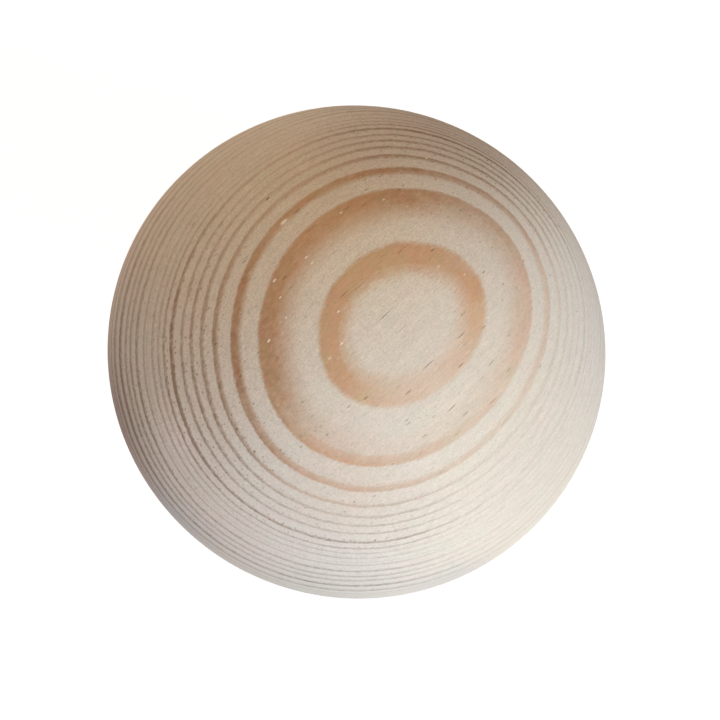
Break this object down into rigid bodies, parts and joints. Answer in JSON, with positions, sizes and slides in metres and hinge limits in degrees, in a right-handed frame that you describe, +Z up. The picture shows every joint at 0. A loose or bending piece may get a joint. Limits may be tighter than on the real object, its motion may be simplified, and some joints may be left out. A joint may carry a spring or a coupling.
{
  "type": "wooden ball",
  "caption": "Plain round ball turned from one piece of bare softwood, smooth all over, with growth rings that make ovals on one side and fine lines round it.",
  "frame": {"origin": "the centre of the ball", "axes": "+Z is up and -Z points at the surface that the ball touches; the sphere is alike in every direction, and +X and +Y only fix how the grain lies"},
  "size_m": [0.06, 0.06, 0.06],
  "materials": {
    "bare_pine": "bare sanded softwood, matt, with orange-brown latewood bands in pale cream earlywood"
  },
  "bodies": {
    "root": {"ball": "bare_pine"}
  },
  "joints": []
}
